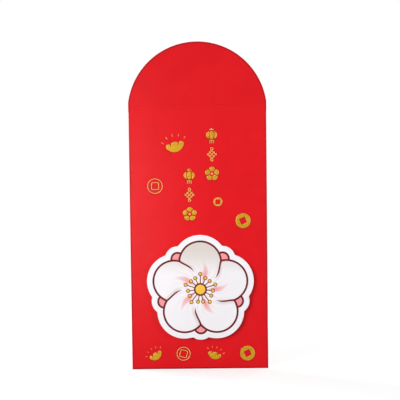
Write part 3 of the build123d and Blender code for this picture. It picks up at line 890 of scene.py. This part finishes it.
printed_board, tree, shader, place = finish_of("printed_board")
paper = paper_in(tree, place, BOARD_GRAIN)
to_print = {"Vector": place, "Scale": (1 / MM,) * 3, "Location": (-CARD_MIDDLE[0], 0, -CARD_MIDDLE[1])}
print_place = add_node(tree, "ShaderNodeMapping", to_print)["Vector"]
across, depth, up = add_node(tree, "ShaderNodeSeparateXYZ", {0: print_place})
radius = distance(tree, vector_of(tree, X=up, Y=across))
turn = figure(tree, "ARCTAN2", across, up)


def sector_of(angle, half):
    """Angle folded into one of equal sectors, as minus to plus half a sector."""
    return figure(tree, "WRAP", angle, half, -half)


def along_and_aside(angle):
    """How far a print point lies along its sector's middle line, and to the side of it."""
    along = figure(tree, "MULTIPLY", radius, figure(tree, "COSINE", angle))
    return along, figure(tree, "MULTIPLY", radius, figure(tree, "SINE", angle))


def outside_disc(along, aside, middle, disc_radius):
    """Distance of the print's points from a disc's edge, negative inside it."""
    point = vector_of(tree, X=along, Y=aside)
    middle = vector_of(tree, X=middle[0], Y=middle[1])
    return figure(tree, "SUBTRACT", distance(tree, point, middle), disc_radius)


def inked(under, ink, away, edge, softness=INK_SOFTNESS, strength=1.0):
    """Ink laid over what is under it, where the distance away is below the edge."""
    share = ramp(tree, away, edge - softness, edge + softness, strength, 0.0)
    return mixed(tree, share, under, ink)


# Outlines of the petals and sepals
sector = sector_of(turn, half_sector)
along, aside = along_and_aside(sector)
one_side = figure(tree, "ABSOLUTE", aside)
petal = outside_disc(along, aside, (PETAL_REACH, 0.0), PETAL_RADIUS)
petal = figure(tree, "MINIMUM", petal, figure(tree, "SUBTRACT", radius, FEET_RADIUS))
sepal_middle = (SEPAL_REACH * math.cos(half_sector), SEPAL_REACH * math.sin(half_sector))
sepal = outside_disc(along, one_side, sepal_middle, SEPAL_RADIUS)

# Petals swirl a little towards the middle; each tucks under the next one at a seam
swirl = ramp(tree, radius, SEAM_INNER, notch_reach, SWIRL, 0.0)
swirled = sector_of(figure(tree, "SUBTRACT", turn, swirl), half_sector)
to_seam = figure(tree, "SUBTRACT", half_sector, figure(tree, "ABSOLUTE", swirled))
from_seam = figure(tree, "MULTIPLY", radius, figure(tree, "SINE", to_seam))
half_line = ramp(tree, radius, SEAM_INNER, SEAM_FULL, -INK_SOFTNESS, LINE / 2)
seam = figure(tree, "SUBTRACT", from_seam, half_line)
tucked = figure(tree, "LESS_THAN", swirled, 0.0)
tucked = figure(tree, "MULTIPLY", tucked, ramp(tree, from_seam, *TUCK_SHADE))
tucked = figure(tree, "MULTIPLY", tucked, ramp(tree, radius, SEAM_INNER, SEAM_FULL))
beige = figure(tree, "MAXIMUM", ramp(tree, up, *BEIGE_RISE), tucked)
fill = mixed(tree, beige, PETAL_WHITE, PETAL_BEIGE)
streak_along, streak_aside = along_and_aside(swirled)
in_length = figure(tree, "DIVIDE", figure(tree, "SUBTRACT", streak_along, STREAK_MIDDLE), STREAK_LENGTH)
half_streak = figure(tree, "SUBTRACT", 1.0, figure(tree, "MULTIPLY", in_length, in_length))
half_streak = figure(tree, "MULTIPLY", half_streak, STREAK_WIDTH)
streak = figure(tree, "SUBTRACT", figure(tree, "ABSOLUTE", streak_aside), half_streak)
streak_ends = (STREAK_MIDDLE - STREAK_LENGTH / 2, STREAK_MIDDLE + STREAK_LENGTH)
streak_strength = ramp(tree, streak_along, *streak_ends, *STREAK_FADE)
fill = inked(fill, PETAL_PINK, streak, STREAK_EDGE, STREAK_SOFTNESS, streak_strength)
vein = figure(tree, "ABSOLUTE", along_and_aside(sector_of(swirled, half_sector / VEINS))[1])
vein_strength = ramp(tree, radius, SEAM_INNER, notch_reach, VEIN_STRENGTH, 0.0)
fill = inked(fill, PETAL_PINK, vein, VEIN_WIDTH, VEIN_SOFTNESS, vein_strength)
fill = inked(fill, LINE_MAROON, seam, 0.0)

# Stamens: a printed filament for each, with the outline of its anther
stamen = sector_of(turn, math.pi / STAMENS)
stamen_along, stamen_aside = along_and_aside(stamen)
is_long = figure(tree, "LESS_THAN", figure(tree, "ABSOLUTE", sector), math.pi / STAMENS)
stamen_reach = figure(tree, "MULTIPLY_ADD", is_long, LONG_REACH - SHORT_REACH, SHORT_REACH)
beside = figure(tree, "SUBTRACT", figure(tree, "ABSOLUTE", stamen_aside), FILAMENT_WIDTH)
filament = figure(tree, "MAXIMUM", beside, figure(tree, "SUBTRACT", radius, stamen_reach))
anther = outside_disc(stamen_along, stamen_aside, (stamen_reach, 0.0), ANTHER_RADIUS + ANTHER_LINE)
for away, edge in ((filament, 0.0), (anther, 0.0), (radius, HEART_RADIUS + HEART_LINE)):
    fill = inked(fill, LINE_MAROON, away, edge)

colour = BOARD_WHITE
for form, inside in ((sepal, PETAL_PINK), (petal, fill)):
    colour = inked(inked(colour, LINE_MAROON, form, 0.0), inside, form, -LINE)
card_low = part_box("die_cut_card")[0]
print_ends = [(card_low.y + behind) / MM for behind in PRINT_ENDS]
colour = mixed(tree, ramp(tree, depth, *print_ends, 1.0, 0.0), BOARD_CORE, colour)
clouds = ramp(tree, paper["Mottle"], *CLOUDED, 0.0, BOARD_CLOUDING)
look = {
    "Base Color": mixed(tree, clouds, colour, BOARD_CORE, "MULTIPLY"),
    "Roughness": ramp(tree, paper["Fibre"], *FIBROUS, *BOARD_ROUGHNESS),
    "Specular IOR Level": BOARD_SPECULAR,
    "Normal": tooth(tree, paper["Height"], *BOARD_TOOTH),
}
set_inputs(shader, look)

card_shape = welded(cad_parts["die_cut_card"].data)
flat_limit = math.radians(FLAT_WITHIN)
bmesh.ops.dissolve_limit(
    card_shape, angle_limit=flat_limit, verts=card_shape.verts, edges=card_shape.edges, delimit=set()
)
front_edges = [e for e in card_shape.edges if {round(f.normal.y) for f in e.link_faces} == {-1, 0}]
bmesh.ops.bevel(
    card_shape,
    geom=front_edges,
    offset=EDGE_ROUNDING,
    offset_type="OFFSET",
    segments=EDGE_STEPS,
    profile=ROUND_PROFILE,
    affect="EDGES",
)
card_mesh = mesh_of(card_shape, "die_cut_card_printed", FLAT_FACE_ANGLE)
card_mesh.materials.append(printed_board)
die_cut_card = put_in_scene(card_mesh)
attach(die_cut_card, "pocket")
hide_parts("die_cut_card")

# Gold dots of the blossom: thick gold ink that stands up from the card in low domes.
# One large dome is the blossom's heart, and a small one ends each stamen.
GOLD_INK = (0.900, 0.515, 0.040)
GOLD_PALE = (0.940, 0.640, 0.130)
INK_SHIMMER, INK_POOL = (0.12 * MM, 2.0, 0.6), (1.2 * MM, 2.0, 0.5)  # noises, as for the glue
INK_PALING = (0.5, 0.8, 0.0, 0.6)  # noise from and to, share of the pale gold from and to
INK_ROUGHNESS = (0.3, 0.7, 0.30, 0.42)
INK_METAL = 0.25
INK_TOOTH = (0.3, 0.008 * MM)
HEART_RISE, ANTHER_RISE = 0.20 * MM, 0.10 * MM
DOME_RINGS, DOME_SEGMENTS = 5, 28
DOME_POWER = 4  # the higher, the flatter the dome's top
DOME_EDGE = 60  # degrees
INK_SINK = 0.01 * MM  # the ink soaks in by this much

gold_ink, tree, shader, place = finish_of("gold_ink")
shimmer = noise(tree, place, *INK_SHIMMER)
pool = noise(tree, place, *INK_POOL)
look = {
    "Base Color": mixed(tree, ramp(tree, shimmer, *INK_PALING), GOLD_INK, GOLD_PALE),
    "Roughness": ramp(tree, pool, *INK_ROUGHNESS),
    "Metallic": INK_METAL,
    "Normal": tooth(tree, shimmer, *INK_TOOTH),
}
set_inputs(shader, look)


def ink_dome(name, dome_radius, rise):
    """Closed low dome that faces the front, on the origin."""
    shape = bmesh.new()
    tip = shape.verts.new((0, -rise, 0))
    rings = []
    angles = [2 * math.pi * n / DOME_SEGMENTS for n in range(DOME_SEGMENTS)]
    for k in range(1, DOME_RINGS + 1):
        share = k / DOME_RINGS
        height = INK_SINK - (rise + INK_SINK) * (1 - share**DOME_POWER)
        reach = dome_radius * share
        ring = [(reach * math.sin(angle), height, reach * math.cos(angle)) for angle in angles]
        rings.append([shape.verts.new(point) for point in ring])
    for k in range(DOME_SEGMENTS):
        shape.faces.new((tip, rings[0][k - 1], rings[0][k]))
        for inner, outer in zip(rings, rings[1:]):
            shape.faces.new((inner[k - 1], outer[k - 1], outer[k], inner[k]))
    shape.faces.new(rings[-1])
    bmesh.ops.recalc_face_normals(shape, faces=shape.faces)
    return mesh_of(shape, name, DOME_EDGE)


ring_rule, ring, ring_out = new_rule(
    "ring_of_anthers",
    {
        "Anther": "Geometry",
        "Count": "Int",
        "Long every": "Int",
        "Long reach": "Float",
        "Short reach": "Float",
        "Middle": "Vector",
    },
)
number = add_node(ring_rule, "GeometryNodeInputIndex")[0]
angle = figure(ring_rule, "MULTIPLY", number, 2 * math.pi)
angle = figure(ring_rule, "DIVIDE", angle, ring["Count"])
in_turn = figure(ring_rule, "MODULO", number, ring["Long every"])
longer = figure(ring_rule, "SUBTRACT", ring["Long reach"], ring["Short reach"])
longer = figure(ring_rule, "MULTIPLY", figure(ring_rule, "LESS_THAN", in_turn, 0.5), longer)
anther_reach = figure(ring_rule, "ADD", ring["Short reach"], longer)
sine, cosine = (figure(ring_rule, operation, angle) for operation in ("SINE", "COSINE"))
direction = vector_of(ring_rule, X=sine, Z=cosine)
anther_place = vector_sum(ring_rule, "SCALE", direction, anther_reach)
anther_place = vector_sum(ring_rule, "ADD", anther_place, ring["Middle"])
row = add_node(ring_rule, "GeometryNodeMeshLine", {"Count": ring["Count"]})["Mesh"]
around = {"Geometry": row, "Position": anther_place}
around = add_node(ring_rule, "GeometryNodeSetPosition", around)["Geometry"]
placed = {"Points": around, "Instance": ring["Anther"]}
placed = add_node(ring_rule, "GeometryNodeInstanceOnPoints", placed)["Instances"]
end_rule(ring_rule, ring, ring_out, placed)
blossom_middle = (CARD_MIDDLE[0] * MM, card_low.y, CARD_MIDDLE[1] * MM)
anthers = grown(
    "blossom_anthers",
    ring_rule,
    {
        "Count": STAMENS,
        "Long every": LONG_EVERY,
        "Long reach": LONG_REACH * MM,
        "Short reach": SHORT_REACH * MM,
        "Middle": blossom_middle,
        "Finish": gold_ink,
    },
    start_mesh=ink_dome("anther_one", ANTHER_RADIUS * MM, ANTHER_RISE),
)
heart_mesh = ink_dome("blossom_heart", HEART_RADIUS * MM, HEART_RISE)
heart_mesh.transform(Matrix.Translation(blossom_middle))
heart_mesh.materials.append(gold_ink)
heart = put_in_scene(heart_mesh)
for dots in (anthers, heart):
    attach(dots, "pocket")

# Floor: a plain white studio table under the bottom fold. Near the object it keeps a faint shadow,
# and further off it is as white as the background.
FLOOR_REACH, FLOOR_SIDES = 3.0, 64
SHADOW_NEAR, SHADOW_FAR = 0.16, 0.42
FLOOR_LIFT = 0.58
FLOOR_WHITE, FLOOR_SHADED = (0.16,) * 3, (0.46,) * 3
floor_middle = (0, 0, cad_box[0].z)


def seen_directly(tree):
    """1 for rays from the camera, from gloss and through glass, else 0."""
    path = add_node(tree, "ShaderNodeLightPath")
    seen = figure(tree, "MAXIMUM", path["Is Camera Ray"], path["Is Glossy Ray"])
    return figure(tree, "MAXIMUM", seen, path["Is Transmission Ray"])


floor_shape = bmesh.new()
bmesh.ops.create_circle(floor_shape, cap_ends=True, segments=FLOOR_SIDES, radius=FLOOR_REACH)
bmesh.ops.translate(floor_shape, verts=floor_shape.verts, vec=floor_middle)
floor = put_in_scene(mesh_of(floor_shape, "studio_floor"))
white_table = bpy.data.materials.new("white_table")
tree = empty_tree(white_table)
floor_place = add_node(tree, "ShaderNodeTexCoord")["Object"]
far = ramp(tree, distance(tree, floor_place, floor_middle), SHADOW_NEAR, SHADOW_FAR)
bounce = add_node(tree, "ShaderNodeBsdfDiffuse", {"Color": (*FLOOR_WHITE, 1)})[0]
shaded = add_node(tree, "ShaderNodeBsdfDiffuse", {"Color": (*FLOOR_SHADED, 1)})[0]
lift = add_node(tree, "ShaderNodeEmission", {"Strength": FLOOR_LIFT})[0]
plain = add_node(tree, "ShaderNodeEmission", {"Strength": 1.0})[0]
near_mix = add_node(tree, "ShaderNodeAddShader", {0: shaded, 1: lift})[0]
seen_mix = add_node(tree, "ShaderNodeMixShader", {0: far, 1: near_mix, 2: plain})[0]
whole = add_node(tree, "ShaderNodeMixShader", {0: seen_directly(tree), 1: bounce, 2: seen_mix})
add_node(tree, "ShaderNodeOutputMaterial", {"Surface": whole[0]})
floor.data.materials.append(white_table)

# Studio: a white room for the camera and for reflections, with a soft even light, a main lamp from the
# upper left, and a narrow tall lamp close to it for the sheen along the card's left edge.
# Weaker lamps open up the right, the folded right side and the back.
ROOM_LIGHT = 0.30
studio = bpy.data.worlds.new("studio_room")
bpy.context.scene.world = studio
tree = empty_tree(studio)
strength = ramp(tree, seen_directly(tree), 0.0, 1.0, ROOM_LIGHT, 1.0)
room = add_node(tree, "ShaderNodeBackground", {"Color": (1, 1, 1, 1), "Strength": strength})
add_node(tree, "ShaderNodeOutputWorld", {"Surface": room[0]})
LAMPS = (
    # name, stand, aim, width and height, spread in degrees, power
    ("main_lamp", (-0.56, -0.50, 0.36), (-0.010, 0, 0.095), (0.64, 0.64), 41, 0.915),
    ("near_left_lamp", (-0.105, -0.30, -0.01), (-0.070, 0, 0.010), (0.08, 0.20), 34, 0.0100),
    ("right_lamp", (0.60, -0.60, 0.12), (0.040, 0, 0.010), (0.50, 0.50), 40, 0.19),
    ("right_side_lamp", (0.85, -0.01, 0.10), (0, 0, 0.02), (0.24, 0.24), 60, 0.35),
    ("back_left_lamp", (-0.78, 0.42, 0.40), (0, 0, 0.0), (0.45, 0.45), 180, 7.6),
    ("back_right_lamp", (0.55, 0.62, 0.30), (0, 0, 0.0), (0.50, 0.50), 180, 2.6),
)
for name, stand, aim, (width, height), spread, power in LAMPS:
    light = bpy.data.lights.new(name, "AREA")
    light.shape, light.size, light.size_y, light.energy = "ELLIPSE", width, height, power
    light.spread = math.radians(spread)
    lamp = put_in_scene(light)
    lamp.visible_camera = False
    lamp.location = stand
    lamp.rotation_euler = (Vector(aim) - Vector(stand)).to_track_quat("-Z", "Y").to_euler()

# Camera: a short telephoto lens a little above the packet's middle,
# turned slightly, as the photograph has it.
CAMERA_DISTANCE = 0.6
CAMERA_AZIMUTH, CAMERA_ELEVATION, CAMERA_ROLL = 0.532, 3.209, -0.690  # degrees
CAMERA_AIM = Vector((1.083 * MM, FACE, 24.401 * MM))
CAMERA_CLIP = (0.01, 20.0)
SENSOR = 36.0
LENS_PIXELS, IMAGE_PIXELS = 937.0, 400
turned = Matrix.Rotation(math.radians(CAMERA_AZIMUTH), 3, "Z")
turned = turned @ Matrix.Rotation(math.radians(90 - CAMERA_ELEVATION), 3, "X")
camera_data = bpy.data.cameras.new("camera")
camera_data.sensor_width = SENSOR
camera_data.lens = LENS_PIXELS * SENSOR / IMAGE_PIXELS
camera_data.clip_start, camera_data.clip_end = CAMERA_CLIP
camera = put_in_scene(camera_data)
camera.location = CAMERA_AIM + turned @ Vector((0, 0, CAMERA_DISTANCE))
camera.rotation_euler = (turned @ Matrix.Rotation(math.radians(CAMERA_ROLL), 3, "Z")).to_euler()
bpy.context.scene.camera = camera
bpy.context.scene.view_settings.view_transform = "Standard"
